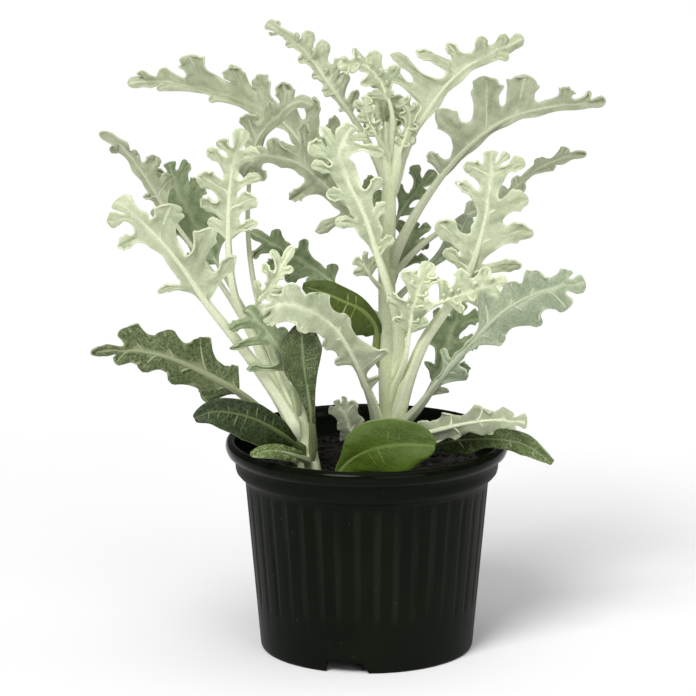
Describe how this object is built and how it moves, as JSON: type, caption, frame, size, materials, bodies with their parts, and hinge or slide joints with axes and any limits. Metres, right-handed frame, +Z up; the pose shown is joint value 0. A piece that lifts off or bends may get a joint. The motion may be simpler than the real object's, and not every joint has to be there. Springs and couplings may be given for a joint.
{
  "type": "dusty miller plant in pot",
  "caption": "Dusty miller with deeply lobed, white-felted leaves on pale stems, and a few plain green leaves low down, growing in soil in a round black plastic nursery pot.",
  "frame": {"origin": "centre of the box on the floor, under the pot's foot ring", "axes": "+Z up along the plant's height, which is the longest side; -Y is the front; +X is to the right seen from the front"},
  "size_m": [0.2126, 0.1224, 0.2708],
  "materials": {
    "pot_plastic": "semi-gloss black moulded plastic",
    "soil": "dark crumbly potting soil",
    "stem": "pale green stem under fine white felt",
    "felted_leaf": "silvery white felt of short hairs",
    "grey_leaf": "thin grey-green felt",
    "mottled_leaf": "worn felt with green showing between the veins",
    "green_leaf": "smooth satin green with pale veins"
  },
  "bodies": {
    "root": {"pot": "pot_plastic", "soil": "soil", "left_stem": "stem", "right_stem": "stem", "left_broad_leaf": "felted_leaf", "upright_left_leaf": "felted_leaf", "hooked_leaf": "felted_leaf", "edge_on_left_leaf": "felted_leaf", "grey_back_leaf": "grey_leaf", "mottled_left_leaf": "mottled_leaf", "curled_young_leaf": "felted_leaf", "small_grey_leaf": "grey_leaf", "middle_spoon_leaf": "green_leaf", "rim_left_leaf": "green_leaf", "rim_left_low_leaf": "green_leaf", "arched_front_leaf": "felted_leaf", "front_oval_leaf": "green_leaf", "small_toothed_leaf": "felted_leaf", "rim_right_leaf": "felted_leaf", "rim_right_low_leaf": "green_leaf", "glossy_middle_leaf": "green_leaf", "old_right_leaf": "mottled_leaf", "grey_right_leaf": "grey_leaf", "oak_leaf": "felted_leaf", "bright_leaf": "felted_leaf", "dark_underside_leaf": "felted_leaf", "back_middle_leaf": "grey_leaf", "high_left_leaf": "felted_leaf", "tall_top_leaf": "felted_leaf", "tip_left_leaf": "felted_leaf", "tip_right_leaf": "felted_leaf", "tip_back_leaf": "felted_leaf", "top_curl_leaf": "felted_leaf", "high_right_leaf": "felted_leaf", "wide_right_leaf": "felted_leaf", "edge_on_right_leaf": "felted_leaf", "round_back_leaf": "green_leaf", "curly_leaf": "felted_leaf", "curly_right_leaf": "felted_leaf", "low_stem_leaf": "felted_leaf", "grey_upper_leaf": "grey_leaf", "small_back_leaf": "grey_leaf", "dark_back_leaf": "grey_leaf"}
  },
  "joints": []
}
